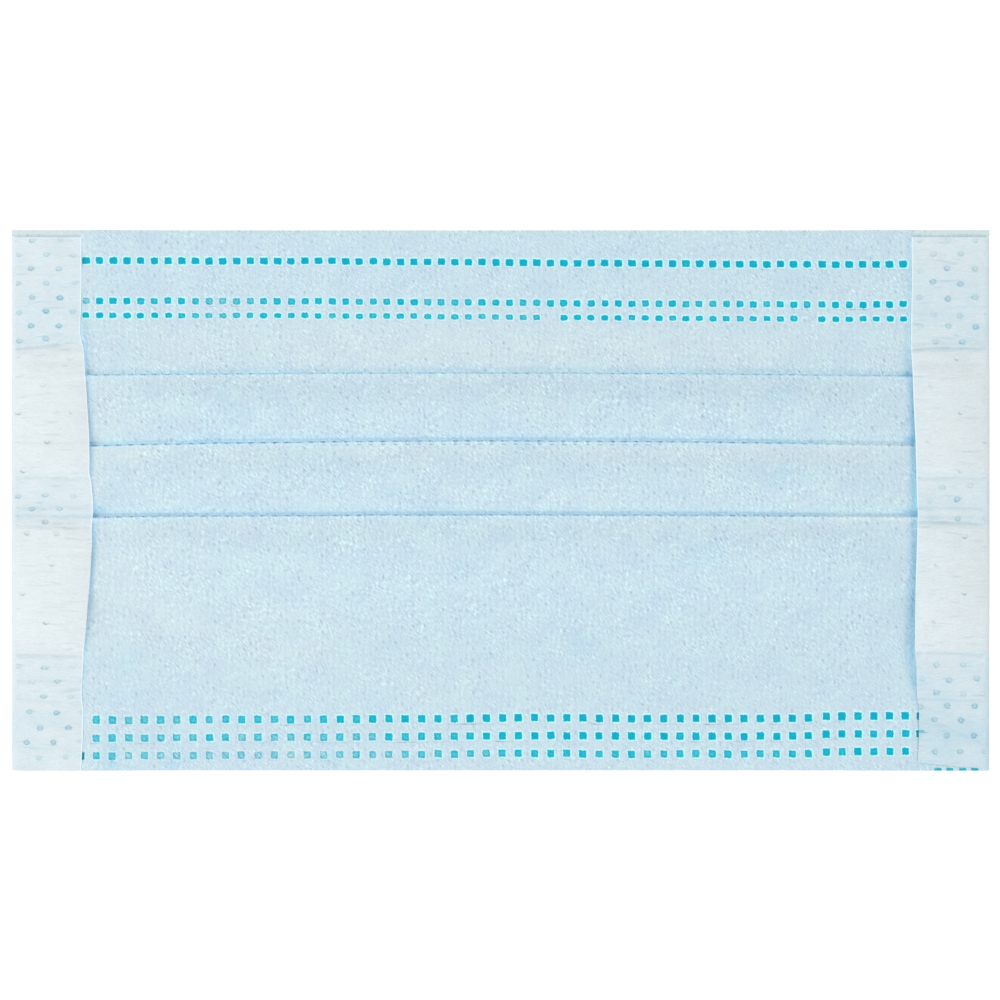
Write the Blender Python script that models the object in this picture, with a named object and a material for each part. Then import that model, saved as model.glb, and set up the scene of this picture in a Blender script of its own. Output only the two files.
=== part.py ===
"""Pleated disposable face mask, lying flat and unopened on its inner face.

A panel of laminated cloth has three knife pleats whose folded edges face the nose edge, and a strip of white
nonwoven is folded round each end of it. Units are metres: +X runs across the face, +Y to the nose edge and +Z
out of the outer face. The origin is on the surface the mask lies on, at the middle of its outline.
"""

from collections import namedtuple
import math

import bmesh
import bpy

# Outline of the whole mask
MASK_WIDTH = 0.175
MASK_HEIGHT = 0.0965

# Cloth
WALL = 0.001  # the panel's laminate and the side bands' strip
CLEARANCE = 0.0003  # between a side band and the panel inside it
LOFT_GAP = 0.0006  # air between the layers of a pleat at mid-width
PRESSED_GAP = 0.0002  # and under the side bands, whose weld presses the pleats
PRESSED_SHARE = 0.7  # of WALL that is left of the panel's cloth there

# Panel, across the mask
FREE_HALF_WIDTH = 0.056  # as far as this from the middle the panel lies flat and fully lofted
HELD_HALF_WIDTH = 0.0725  # from here outwards the side bands hold it
PANEL_HALF_WIDTH = 0.0858  # its ends inside the bands
STATIONS = (0.0, 0.015, 0.030, 0.044, 0.056, 0.061, 0.065, 0.069, 0.0725, 0.080, PANEL_HALF_WIDTH)

# Pleats, from the nose edge down. edge is the height of the visible fold at mid-width, drop_left and drop_right
# say how much lower it lies at each band, and depth is how far the hidden cloth runs in under the fold.
Pleat = namedtuple("Pleat", "edge drop_left drop_right depth")
PLEATS = (
    Pleat(edge=0.02295, drop_left=0.00035, drop_right=0.00060, depth=0.0097),
    Pleat(edge=0.01085, drop_left=0.00080, drop_right=0.00080, depth=0.0108),
    Pleat(edge=-0.00233, drop_left=0.00036, drop_right=0.00036, depth=0.0115),
)
FOLD_STEPS = 6  # facets round a fold
DIVE_ROOM = 0.0024  # between a pleat's hidden fold and the next pleat, where the cloth comes down
DIVE_RADIUS = 0.0008
DIVE_ANGLE = math.radians(65)
DIVE_STEPS = 3

# Side bands, from the nose edge down: width is how far a band reaches in from the mask's end, and lift is how
# far it stands from lying on one layer of the panel, 0, to lying on the whole stack of a pleat, 1.
BandRow = namedtuple("BandRow", "y left right lift")
BAND_ROWS = (
    BandRow(y=0.0470, left=0.01235, right=0.01375, lift=0.0),
    BandRow(y=0.0305, left=0.01235, right=0.01375, lift=0.0),
    BandRow(y=0.0273, left=0.01270, right=0.01370, lift=0.0),
    BandRow(y=0.0236, left=0.01290, right=0.01360, lift=1.0),
    BandRow(y=0.0122, left=0.01340, right=0.01325, lift=1.0),
    BandRow(y=0.0111, left=0.01345, right=0.01320, lift=0.8),
    BandRow(y=0.0103, left=0.01350, right=0.01320, lift=1.0),
    BandRow(y=0.0040, left=0.01380, right=0.01300, lift=1.0),
    BandRow(y=-0.0013, left=0.01415, right=0.01285, lift=1.0),
    BandRow(y=-0.00235, left=0.01425, right=0.01280, lift=0.85),
    BandRow(y=-0.0031, left=0.01430, right=0.01275, lift=1.0),
    BandRow(y=-0.0090, left=0.01410, right=0.01295, lift=1.0),
    BandRow(y=-0.0146, left=0.01390, right=0.01340, lift=1.0),
    BandRow(y=-0.0200, left=0.01345, right=0.01385, lift=0.4),
    BandRow(y=-0.0251, left=0.01300, right=0.01430, lift=0.1),
    BandRow(y=-0.0280, left=0.01265, right=0.01390, lift=0.0),
    BandRow(y=-0.0341, left=0.01235, right=0.01320, lift=0.0),
    BandRow(y=-0.0391, left=0.01230, right=0.01265, lift=0.0),
    BandRow(y=-0.0440, left=0.01235, right=0.01270, lift=0.0),
    BandRow(y=-0.04825, left=0.01235, right=0.01280, lift=0.0),
)
BAND_TURN_RADIUS = 0.001  # of the strip's middle, at the two corners where it folds round the panel's end
BAND_TURN_STEPS = 3

# side is the sign of x, and a band's foot is cut off from foot_inner, at its inner edge, to foot_outer.
Band = namedtuple("Band", "name column side foot_inner foot_outer")
BANDS = (
    Band(name="side_band_left", column="left", side=-1, foot_inner=-0.04825, foot_outer=-0.04825),
    Band(name="side_band_right", column="right", side=1, foot_inner=-0.0475, foot_outer=-0.0481),
)

CORNER_STEP = 0.0001  # over this height the panel narrows below each corner of its nose edge

PANEL_COLOUR = (0.597, 0.753, 0.839, 1.0)
BAND_COLOUR = (0.80, 0.86, 0.90, 1.0)


class Pen:
    """Draws a cross-section in a plane, with a heading in radians from the plane's first axis."""

    def __init__(self, across, up, heading):
        self.points = [(across, up)]
        self.heading = heading

    def forward(self, length):
        across, up = self.points[-1]
        self.points.append((across + length * math.cos(self.heading), up + length * math.sin(self.heading)))

    def run_to(self, across):
        """Goes straight on, while heading along the first axis, as far as that coordinate."""
        self.forward(abs(across - self.points[-1][0]))

    def turn(self, angle, radius, steps):
        """Goes round an arc by angle, anticlockwise if it is positive, in so many chords."""
        step = angle / steps
        chord = 2 * radius * math.sin(abs(step) / 2)
        for _ in range(steps):
            self.heading += step / 2
            self.forward(chord)
            self.heading += step / 2


def held(x):
    """How firmly the side bands hold the panel at x: 0 over its free middle, 1 inside the bands."""
    share = (abs(x) - FREE_HALF_WIDTH) / (HELD_HALF_WIDTH - FREE_HALF_WIDTH)
    share = min(max(share, 0.0), 1.0)
    return share * share * (3 - 2 * share)


def wall_at(x):
    return WALL * (1 - held(x) * (1 - PRESSED_SHARE))


def layer_pitch(x):
    """The distance between the middles of two layers of a pleat."""
    return wall_at(x) + LOFT_GAP + held(x) * (PRESSED_GAP - LOFT_GAP)


def underside(x):
    """The panel's lowest level: it lies on the surface, and rises on to the bands' back flaps at its ends."""
    return held(x) * (WALL + CLEARANCE)


def fold_edge(pleat, x):
    drop = pleat.drop_left if x < 0 else pleat.drop_right
    return pleat.edge - drop * (x / HELD_HALF_WIDTH) ** 2


def stack_top(x):
    """The top of a whole pleat, three layers high."""
    return underside(x) + wall_at(x) + 2 * layer_pitch(x)


def dive(pen, middle, fall):
    """Brings the cloth from a pleat's top layer down to its lowest level, halfway down at middle."""
    slope = (fall - 2 * DIVE_RADIUS * (1 - math.cos(DIVE_ANGLE))) / math.sin(DIVE_ANGLE)
    reach = 2 * DIVE_RADIUS * math.sin(DIVE_ANGLE) + slope * math.cos(DIVE_ANGLE)
    pen.run_to(middle + reach / 2)
    pen.turn(DIVE_ANGLE, DIVE_RADIUS, DIVE_STEPS)
    pen.forward(slope)
    pen.turn(-DIVE_ANGLE, DIVE_RADIUS, DIVE_STEPS)


def panel_section(x):
    """The middle of the panel's cloth at x, from the nose edge to the chin edge."""
    pitch = layer_pitch(x)
    nose = (pitch + wall_at(x)) / 2  # from a fold's centre to its outside
    corner = BAND_ROWS[0].y + CLEARANCE
    pen = Pen(MASK_HEIGHT / 2, underside(x) + wall_at(x) / 2, heading=math.pi)
    pen.run_to(corner + CORNER_STEP)
    pen.run_to(corner)
    for pleat in PLEATS:
        edge = fold_edge(pleat, x)
        pen.run_to(edge - pleat.depth + nose)
        pen.turn(-math.pi, pitch / 2, FOLD_STEPS)
        pen.run_to(edge - nose)
        pen.turn(math.pi, pitch / 2, FOLD_STEPS)
        dive(pen, edge - pleat.depth - DIVE_ROOM / 2, 2 * pitch)
    pen.run_to(-MASK_HEIGHT / 2)
    if abs(x) < PANEL_HALF_WIDTH:
        return [(x, y, z) for y, z in pen.points]
    # The corners of the nose edge stand above the bands, so there the panel is as wide as the mask.
    corner_half_width = math.copysign(MASK_WIDTH / 2, x)
    return [(corner_half_width if y > corner + CORNER_STEP / 2 else x, y, z) for y, z in pen.points]


def band_section(band, row, last):
    """The middle of a side band's strip at one row: back flap, round the panel's end, front flap."""
    width = getattr(row, band.column)
    flap_gap = WALL / 2 + CLEARANCE
    inside = underside(MASK_WIDTH) + wall_at(MASK_WIDTH)
    level = inside + row.lift * (stack_top(MASK_WIDTH) - inside) + flap_gap
    inner, outer = MASK_WIDTH / 2 - width, (MASK_WIDTH - WALL) / 2
    pen = Pen(inner, WALL / 2, heading=0.0)
    pen.run_to(outer - BAND_TURN_RADIUS)
    pen.turn(math.pi / 2, BAND_TURN_RADIUS, BAND_TURN_STEPS)
    pen.forward(level - WALL / 2 - 2 * BAND_TURN_RADIUS)
    pen.turn(math.pi / 2, BAND_TURN_RADIUS, BAND_TURN_STEPS)
    pen.run_to(inner)
    points = []
    for x, z in pen.points:
        share = (x - inner) / width
        foot = band.foot_inner + share * (band.foot_outer - band.foot_inner)
        points.append((band.side * x, foot if last else row.y, z))
    return points


def cloth_material(name, colour):
    material = bpy.data.materials.new(name)
    material.use_nodes = True
    shader = material.node_tree.nodes["Principled BSDF"]
    shader.inputs["Base Color"].default_value = colour
    shader.inputs["Roughness"].default_value = 0.85
    shader.inputs["Metallic"].default_value = 0.0
    return material


def cloth_sheet(name, sections, material, thinned=None):
    """Skins the sections as a sheet and gives it the cloth's wall, which thinned(x) presses from 0 to 1."""
    grid = bmesh.new()
    rows = [[grid.verts.new(point) for point in section] for section in sections]
    for near, far in zip(rows, rows[1:]):
        for i in range(len(near) - 1):
            grid.faces.new((near[i], near[i + 1], far[i + 1], far[i]))
    mesh = bpy.data.meshes.new(name)
    grid.to_mesh(mesh)
    grid.free()
    mesh.materials.append(material)
    mesh.shade_smooth()
    sheet = bpy.data.objects.new(name, mesh)
    bpy.context.scene.collection.objects.link(sheet)
    solid = sheet.modifiers.new("wall", "SOLIDIFY")
    solid.thickness = WALL
    solid.offset = 0.0
    solid.use_even_offset = True
    if thinned:
        free = sheet.vertex_groups.new(name="free")
        for vertex in mesh.vertices:
            free.add([vertex.index], 1 - thinned(vertex.co.x), "REPLACE")
        solid.vertex_group = free.name
        solid.thickness_vertex_group = PRESSED_SHARE
    return sheet


def main():
    for thing in list(bpy.data.objects):
        bpy.data.objects.remove(thing)
    panel_cloth = cloth_material("panel_cloth", PANEL_COLOUR)
    band_cloth = cloth_material("band_cloth", BAND_COLOUR)

    stations = sorted({side * x for x in STATIONS for side in (-1, 1)})
    cloth_sheet("pleated_panel", [panel_section(x) for x in stations], panel_cloth, thinned=held)
    for band in BANDS:
        sections = [band_section(band, row, row is BAND_ROWS[-1]) for row in BAND_ROWS]
        cloth_sheet(band.name, sections, band_cloth)


main()
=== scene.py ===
"""A pleated disposable face mask lying flat on a white table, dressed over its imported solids.

The panel is one sheet of laminated nonwoven with three knife pleats and rows of weld squares pressed into it.
A white nonwoven strip is folded round each end. Units are metres. +X runs across the face, +Y to the nose
edge and +Z out of the outer face.
"""

from collections import namedtuple
import math

import bmesh
import bpy
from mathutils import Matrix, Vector
import numpy as np


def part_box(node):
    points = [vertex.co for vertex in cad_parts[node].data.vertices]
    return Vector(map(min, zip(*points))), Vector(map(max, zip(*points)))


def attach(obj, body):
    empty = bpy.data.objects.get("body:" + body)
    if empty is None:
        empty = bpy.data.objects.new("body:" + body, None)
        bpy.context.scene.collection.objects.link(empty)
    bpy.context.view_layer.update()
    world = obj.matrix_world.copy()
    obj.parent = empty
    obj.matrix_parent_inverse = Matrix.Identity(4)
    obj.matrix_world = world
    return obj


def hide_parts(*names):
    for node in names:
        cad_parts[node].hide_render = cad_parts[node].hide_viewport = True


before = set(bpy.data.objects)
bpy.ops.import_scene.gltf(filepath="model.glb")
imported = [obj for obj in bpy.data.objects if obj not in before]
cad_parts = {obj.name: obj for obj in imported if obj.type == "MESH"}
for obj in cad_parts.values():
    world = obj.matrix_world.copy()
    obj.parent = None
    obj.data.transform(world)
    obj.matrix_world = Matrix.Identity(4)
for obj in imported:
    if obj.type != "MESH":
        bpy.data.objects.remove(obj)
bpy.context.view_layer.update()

PANEL_LOW, PANEL_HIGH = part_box("pleated_panel")
MM = 0.001
SEED = 7


# ---------------------------------------------------------------- tables
def table(columns, *rows):
    """Rows with named columns. Those before the bar are lengths, typed in millimetres."""
    lengths, _, others = columns.partition("|")
    row_type = namedtuple("Row", lengths + others)
    count = len(lengths.split())
    return tuple(row_type(*[value * MM for value in row[:count]], *row[count:]) for row in rows)


def read(pairs, place):
    """The value at a place in a table of (place, value) pairs."""
    places, values = zip(*pairs)
    return np.interp(place, places, values)


def at_height(rows, name, y):
    """One column of a table whose rows run from the nose edge down, at these heights."""
    return read([(row.y, getattr(row, name)) for row in rows[::-1]], y)


def at_side(rows, name, x, y):
    """The same, from the column that holds for this side of the mask."""
    return np.where(x < 0, at_height(rows, "left" + name, y), at_height(rows, "right" + name, y))


def smoothed(rows, name, y):
    """One column, smoothed a little along y."""
    return sum(at_height(rows, name, y + shift * MM) for shift in (-0.6, -0.2, 0.2, 0.6)) / 4


# ---------------------------------------------------------------- sizes of the panel
HALF_WIDTH = PANEL_HIGH.x  # of the whole mask, and of the panel above the bands
NOSE_EDGE = PANEL_HIGH.y + 0.07 * MM
CHIN_EDGE = PANEL_LOW.y - 0.21 * MM
PANEL_END = 86.6 * MM  # half the panel's width inside the bands
CORNER_TOP = 47.20 * MM  # over this height the panel is as wide as the mask,
CORNER_FOOT = 47.08 * MM  # and below this one it fits inside the bands
CORNER_START = 80.0 * MM  # what lies further out than this is widened there

CLOTH = 0.36 * MM  # thickness of the panel's laminate
FREE_HALF_WIDTH = 56.0 * MM  # as far as this the panel lies free
HELD_HALF_WIDTH = 72.5 * MM  # from here outwards the bands hold it
REST_LEVEL = 0.36 * MM  # middle of the panel's lowest layer where it lies free
HELD_LEVEL = 1.05 * MM  # and inside the bands, on top of their back flaps
HUMP = 1.05 * MM  # how far the pleats push the panel's middle up
WAVE = 0.10 * MM  # how uneven it lies, in long waves
RIPPLE = 0.035 * MM  # and in short ones

PRESSED_PITCH = 0.42 * MM  # between the middles of two layers that touch
FOLD_INSET = 0.28 * MM  # from a pleat's line back to the middle of its folded cloth
LOFT = 0.34 * MM  # more than that, halfway along a pleat
LAST_DIVE = 3.36 * MM  # of the lowest strip, where it comes down from the last pleat
FOLD_PAINTED_LIGHT = 0.30  # how much the cloth on a fold's brow is painted paler and bluer, as a painted highlight, and how fast that fades down the strip
FOLD_FADE = 0.30 * MM
PAINTED_LIGHT_ABOVE_FADE = 0.60 * MM  # how fast the painted paler, bluer shade on the strip above a fold fades
BROW_LINE = (1, 1, 1, 1, 1, 1, 0.9, 0.3, 0)  # how the painted dark shade line fades over the fold's brow, from below

# edge is the height of a pleat's fold at mid-width, and drop how far it sinks towards either band. dashes
# is how clearly a row of press marks shows below the fold. The next column is how strong the painted
# highlight on the cloth under them is, and the one after it how much the fold's shade on the strip above is
# painted paler and bluer. line is how dark the painted shade line, broken, along the fold is, and faint how
# much of that line is lost near the right band.
PLEATS = table(
    "edge drop_left drop_right depth | dashes glow clear line faint",
    (22.90, 0.35, 0.60, 9.7, 0.25, 0.00, 0.60, 0.72, 0.30),
    (10.72, 0.80, 0.80, 10.8, 0.90, 0.34, 0.90, 1.00, 0.75),
    (-2.50, 0.36, 0.36, 11.5, 0.10, 0.22, 0.74, 0.85, 0.75))

# The grid's lines along each layer of a pleat, as shares of the layer
STRIP_LINES = (0.0, 0.14, 0.28, 0.42, 0.55, 0.67, 0.77, 0.85, 0.91, 0.955, 0.985)
LOW_LINES = (0.03, 0.35, 0.7, 1.0)
MIDDLE_LINES = (1.0, 0.86, 0.7, 0.5, 0.3, 0.15, 0.06)
TOP_LINES = (0.008, 0.020, 0.030, 0.040, 0.050, 0.065, 0.08, 0.13, 0.2, 0.3, 0.42, 0.55, 0.68, 0.8, 0.9)
DASH_LINES = (0.020, 0.030)  # those that the press marks lie on

NOSE_ZONE_END = 28.0 * MM  # between the welds above and the first pleat
CHIN_ZONE_START = -37.3 * MM  # between the lowest strip and the welds below
ZONE_GAP = 0.6 * MM  # between a weld zone's last line and the first of the pleats

# Weld squares. A roll has presses them in columns pitch apart from start, and past the seam, where the
# pattern starts again, seam_pitch apart. drift is how far the rows sink, and slide how far the columns move
# to the right, at places along X, all in mm.
NOSE_ROLL, CHIN_ROLL = table(
    "start pitch seam_gap seam_pitch | columns seam drift slide",
    (-74.26, 2.440, 0.28, 2.422, 61, 54,
     ((-75, 0.0), (-36, 0.0), (-13, -0.19), (11, -0.38), (36, -0.52), (55, -0.63), (73, -0.62)),
     ((-71, 0.0), (-41, 0.12), (-2, 0.19), (27, 0.17), (37, 0.08), (47, -0.03), (56, -0.19), (66, -0.19),
      (72, -0.25))),
    (-75.54, 2.901, 0.37, 2.852, 53, 46,
     ((-61, 0.0), (-43, 0.08), (-18, 0.18), (0, 0.36), (12, 0.34), (20, 0.27), (52, 0.27), (55.2, 0.35),
      (55.9, 0.62), (73, 0.78)),
     ((-75.2, 0.37), (-72.5, 0.21), (-68, 0.21), (-57, 0.09), (-43, 0.17), (-33, 0.32), (-21, 0.39),
      (-8, 0.49), (3, 0.42), (14, 0.34), (30, 0.36), (38, 0.26), (50, 0.19), (54, 0.12), (61, 0.04),
      (71, -0.05), (72.6, -0.08), (75, -0.34))))
# The rows of squares. wear lists (column, strength), how well the film has taken along the row, and missing
# the columns without a square.
WELD_COLUMNS = "y half_wide half_high | rounding wear missing"
NOSE_ROWS = table(
    WELD_COLUMNS,
    (42.84, 0.54, 0.455, 0.09, ((0, 1.0), (60, 1.0)), ()),
    (35.64, 0.50, 0.425, 0.11,
     ((0, 0.35), (1, 0.93), (3, 0.83), (7, 0.75), (8, 0.64), (11, 0.64), (13, 0.81), (23, 0.81), (26, 0.72),
      (34, 0.81), (40, 0.90), (46, 0.75), (53, 0.80), (55, 0.93), (60, 0.95)), ()),
    (33.07, 0.51, 0.338, 0.18,
     ((0, 0.88), (4, 0.88), (7, 0.79), (8, 0.62), (10, 0.58), (13, 0.84), (20, 0.81), (26, 0.70), (33, 0.70),
      (35, 0.85), (43, 0.86), (47, 0.77), (50, 0.82), (54, 0.93), (60, 0.94)), (34, 53)))
CHIN_ROWS = table(
    WELD_COLUMNS,
    (-39.41, 0.51, 0.52, 0.0,
     ((0, 0.3), (1, 0.64), (13, 0.68), (16, 0.82), (23, 0.86), (24, 0.96), (52, 0.98)), (0,)),
    (-42.59, 0.51, 0.50, 0.0,
     ((0, 0.3), (1, 0.61), (17, 0.61), (19, 0.74), (23, 0.79), (25, 0.92), (52, 0.95)), (0,)),
    (-45.77, 0.50, 0.49, 0.0,
     ((0, 0.75), (1, 0.60), (3, 0.43), (16, 0.41), (19, 0.52), (25, 0.65), (27, 0.84), (37, 0.76), (43, 0.78),
      (46, 0.90), (52, 0.93)), (52,)))
WELD_SLOPE = 0.47 * MM  # width of the slope round a square
WELD_DEPTH = 0.17 * MM
SQUARE_HALF = 0.58 * MM  # the widest square's, which sets the grid
# How unlike each other the squares are: in place, size, slant and strength
SHIFT_SPREAD = 0.035 * MM
SIZE_SPREAD = 0.03
LEAN_SPREAD = 0.018
LUCK_SPREAD = 0.05
# Half-cut marks along the chin edge, below the right band's foot
EDGE_MARKS = (78.30 * MM, 80.37 * MM, 82.75 * MM, 84.83 * MM)
EDGE_MARK_HALF = 0.48 * MM
EDGE_MARK_TOP = -48.12 * MM
# The grid of a weld zone, outside its squares
LEAST_GAP = 0.15 * MM
STEP_ACROSS = 1.2 * MM
STEP_DOWN = 1.1 * MM

# Soft spots: darker stains, paler patches, and the painted shade of the dark wedges where a pleat goes under
# a band
SPOT = "x y wide high | strength"
STAINS = table(
    SPOT,
    (51.0, 4.4, 3.4, 2.0, 1.0), (50.2, 18.9, 2.4, 1.7, 0.8), (35.8, -9.6, 5.5, 3.2, 0.7),
    (14.5, -25.5, 4.2, 3.0, 0.5), (-10.8, -3.6, 5.5, 2.2, 0.5), (7.0, -5.0, 6.0, 2.6, 0.4),
    (-6.0, -13.0, 4.0, 2.4, 0.4), (-17.5, 0.6, 4.0, 1.6, 0.5), (-48.0, 16.5, 5.0, 3.0, 0.4),
    (-50.0, 11.0, 7.0, 1.8, 0.5), (25.0, 19.0, 11.0, 3.2, 0.3), (48.0, 12.8, 6.0, 2.2, 0.4),
    (-18.0, 41.5, 5.0, 2.4, 0.3), (22.0, 44.5, 6.0, 2.0, 0.4), (17.0, 40.0, 5.0, 2.0, 0.3),
    (53.0, 39.5, 4.0, 5.0, 0.4), (-33.0, 8.0, 6.0, 2.4, 0.3), (5.0, 8.5, 8.0, 2.4, 0.3),
    (26.0, -18.0, 5.0, 3.0, 0.3), (62.0, -10.0, 6.0, 6.0, 0.3), (-69.4, -45.8, 1.0, 2.8, 2.2),
    (-58.9, -46.9, 1.7, 1.1, 1.7), (-58.3, -43.8, 1.0, 2.0, 0.8), (-30.5, -45.7, 2.6, 1.6, 1.3),
    (-67.2, -29.5, 2.4, 2.6, 0.8))
PALE_PATCHES = table(
    SPOT,
    (-69.0, 13.0, 9.0, 7.0, 0.35), (-66.0, -17.0, 11.0, 12.0, 0.45), (-42.0, -24.0, 16.0, 9.0, 0.30),
    (-25.0, 28.0, 40.0, 5.0, 0.38), (20.0, 27.0, 50.0, 4.0, 0.36), (-60.0, 27.0, 10.0, 5.0, 0.25),
    (-5.0, -33.0, 25.0, 3.0, 0.15))
SHADE_WEDGES = table(
    SPOT,
    (72.6, 22.4, 1.4, 0.45, 0.8), (73.3, 10.9, 0.9, 0.6, 1.0), (73.0, -2.0, 1.5, 0.5, 0.9),
    (-71.8, -1.9, 1.4, 0.8, 0.7))
# Painted light and shade on the cloth beside a band's inner edge: the width in mm of the painted soft blue
# shade, how deep it is, how much paler the cloth is painted right at the edge, against the shadow there, and
# how much bluer it is painted, as light through the band
SHADE_ROWS = table(
    "y | left_width left_depth left_lift left_blue right_width right_depth right_lift right_blue",
    (47.3, 0.80, 0.00, 0.00, 0.0, 0.90, 0.00, 0.00, 0.0),
    (47.0, 0.80, 0.00, 0.90, 0.0, 0.90, 0.38, 0.40, 0.0),
    (36.0, 1.10, 0.28, 0.90, 0.0, 1.00, 0.38, 0.40, 0.0),
    (31.0, 1.50, 0.82, 1.10, 0.0, 1.10, 0.28, 0.50, 0.0),
    (28.5, 1.50, 0.75, 1.10, 0.2, 1.30, 0.28, 0.50, 0.0),
    (26.0, 1.40, 0.32, 1.30, 0.8, 2.00, 0.45, 1.10, 0.0),
    (23.5, 1.40, 0.32, 1.30, 0.8, 1.60, 0.45, 1.10, 0.0),
    (20.5, 0.80, 0.30, 0.40, 0.8, 0.75, 0.88, 0.50, 0.1),
    (14.5, 0.80, 0.35, 0.20, 1.0, 0.93, 1.00, 0.55, 0.1),
    (7.0, 0.80, 0.30, 0.40, 1.0, 1.00, 1.00, 0.65, 0.2),
    (1.5, 0.80, 0.00, 0.85, 0.2, 1.25, 1.00, 0.70, 0.1),
    (-6.0, 0.95, 1.00, 0.95, 0.9, 1.35, 0.80, 1.15, 0.0),
    (-10.5, 0.90, 0.95, 0.40, 1.0, 1.25, 1.00, 0.60, 0.1),
    (-16.0, 0.95, 0.60, 0.40, 0.9, 1.30, 0.82, 1.00, 0.2),
    (-21.5, 0.80, 0.10, 0.30, 1.3, 1.60, 0.92, 0.95, 0.1),
    (-26.0, 1.00, 0.30, 0.80, 0.8, 1.90, 0.92, 0.95, 0.0),
    (-29.5, 1.00, 0.60, 0.90, 0.2, 2.00, 0.68, 0.40, 0.0),
    (-32.5, 0.90, 0.25, 0.40, 0.1, 1.25, 0.95, 0.30, 0.0),
    (-35.5, 0.80, 0.20, 0.50, 0.1, 0.90, 0.25, 0.10, 0.0),
    (-38.0, 0.80, 0.00, 1.20, 0.0, 0.80, 0.05, 0.00, 0.0),
    (-48.3, 0.80, 0.00, 1.20, 0.0, 0.80, 0.00, 0.00, 0.0))

# ---------------------------------------------------------------- sizes of the side bands
STRIP = 0.30 * MM  # thickness of a band's strip
TURN_DEPTH = 0.8 * MM  # of the strip's turn round the panel's end
TURN_START = STRIP / 2 + TURN_DEPTH  # how far inwards from the mask's end the turn begins
TURN_CLOTH = 2 * MM  # of strip between the flaps, beyond what they measure from the mask's end
FRONT_GRID, BACK_GRID = (84, 9, 12), (20, 7, 12)  # places along the front flap, the turn and the back flap
FRONT_ROWS, BACK_ROWS = 590, 150  # of the strip's outer face, which has the relief, and of its inner one

# How far each band reaches in from the mask's end
BAND_ROWS = table(
    "y left right",
    (47.05, 12.50, 13.90), (37.9, 12.50, 13.95), (29.8, 12.25, 14.12), (27.1, 12.90, 14.08),
    (24.4, 13.13, 13.96), (19.0, 13.54, 13.80), (13.6, 13.88, 13.56), (10.9, 14.03, 13.43),
    (5.6, 14.04, 13.26), (4.2, 14.08, 13.24), (3.6, 14.33, 13.23), (0.2, 14.66, 13.10), (-2.5, 14.64, 12.96),
    (-5.2, 14.42, 13.07), (-7.9, 14.50, 13.14), (-10.6, 14.33, 13.23), (-13.3, 14.20, 13.32),
    (-18.7, 13.72, 13.41), (-24.0, 13.26, 13.45), (-26.7, 12.92, 13.46), (-29.4, 12.82, 13.18),
    (-34.8, 12.50, 13.06), (-37.5, 12.82, 12.66), (-43.0, 12.74, 12.70), (-48.4, 12.45, 12.92))
BAND_TOP = BAND_ROWS[0].y
BAND_FOOT = BAND_ROWS[-1].y
BAND_LENGTH = BAND_TOP - BAND_FOOT

# How high a band's front flap lies, how far it bulges up, and how far the blue cloth shows through each band;
# the right band's values are higher partly to paint the shade that side lies in
FLAP_ROWS = table(
    "y level loft | left_tint right_tint",
    (47.1, 1.42, 0.02, 0.33, 0.36), (42.0, 1.46, 0.12, 0.32, 0.44), (36.5, 1.46, 0.12, 0.52, 0.60),
    (30.0, 1.46, 0.10, 0.40, 0.54), (27.7, 1.46, 0.03, 0.32, 0.48), (26.6, 1.75, 0.30, 0.06, 0.17),
    (24.4, 1.90, 0.50, 0.02, 0.14), (23.0, 2.25, 0.70, 0.00, 0.12), (21.0, 2.45, 0.95, 0.00, 0.12),
    (12.0, 2.50, 1.10, 0.00, 0.12), (5.5, 2.50, 0.80, 0.03, 0.14), (3.8, 2.40, 0.20, 0.22, 0.32),
    (0.5, 2.38, 0.12, 0.35, 0.46), (-3.6, 2.38, 0.12, 0.35, 0.42), (-5.2, 2.45, 0.80, 0.03, 0.14),
    (-10.0, 2.50, 1.10, 0.00, 0.12), (-17.0, 2.35, 1.15, 0.00, 0.10), (-23.0, 1.90, 0.95, 0.00, 0.10),
    (-26.8, 1.60, 0.50, 0.03, 0.15), (-27.9, 1.52, 0.05, 0.22, 0.45), (-32.0, 1.50, 0.15, 0.25, 0.54),
    (-35.9, 1.50, 0.03, 0.32, 0.66), (-40.5, 1.50, 0.16, 0.50, 0.95), (-45.0, 1.50, 0.12, 0.40, 0.85),
    (-48.4, 1.50, 0.06, 0.32, 0.78))

# Marks pressed into the strip, in rows from the nose edge down: first is how far the row's outermost mark
# lies from the mask's end. ring is 1 for a whole oval, and 0 for a comma, which is only its lower outer
# side. A mark's darkness is partly its own colour and partly painted shade, heaviest on its lower side.
MARK_COLUMNS = "y first pitch | ring"
LEFT_MARKS = table(
    MARK_COLUMNS,
    (46.5, 3.8, 5.0, 0.5), (43.9, 1.3, 4.9, 0.7), (41.4, 3.7, 4.9, 0.7), (38.7, 1.3, 5.0, 1.0),
    (36.2, 3.6, 5.1, 1.0), (33.7, 1.2, 4.95, 1.0), (31.2, 3.6, 5.0, 0.9), (28.7, 1.3, 4.85, 0.6),
    (25.6, 0.9, 9.7, 0.0), (20.6, 5.9, 9.9, 0.0), (15.6, 1.6, 9.5, 0.0), (10.6, 6.6, 9.9, 0.0),
    (5.3, 2.2, 9.5, 0.0), (0.7, 1.2, 5.0, 0.7), (-1.7, 3.8, 4.9, 0.8), (-3.8, 6.1, 5.0, 0.7),
    (-5.9, 3.0, 5.2, 0.4), (-11.5, 7.3, 9.9, 0.0), (-16.6, 2.2, 9.5, 0.0), (-21.9, 6.4, 9.9, 0.0),
    (-29.8, 1.1, 5.0, 0.6), (-32.5, 3.6, 4.7, 0.6), (-35.0, 0.9, 4.9, 0.7), (-37.9, 3.3, 4.7, 1.0),
    (-40.7, 0.4, 4.9, 1.0), (-43.2, 2.7, 4.8, 1.0), (-45.9, 4.9, 4.9, 0.7))
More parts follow.
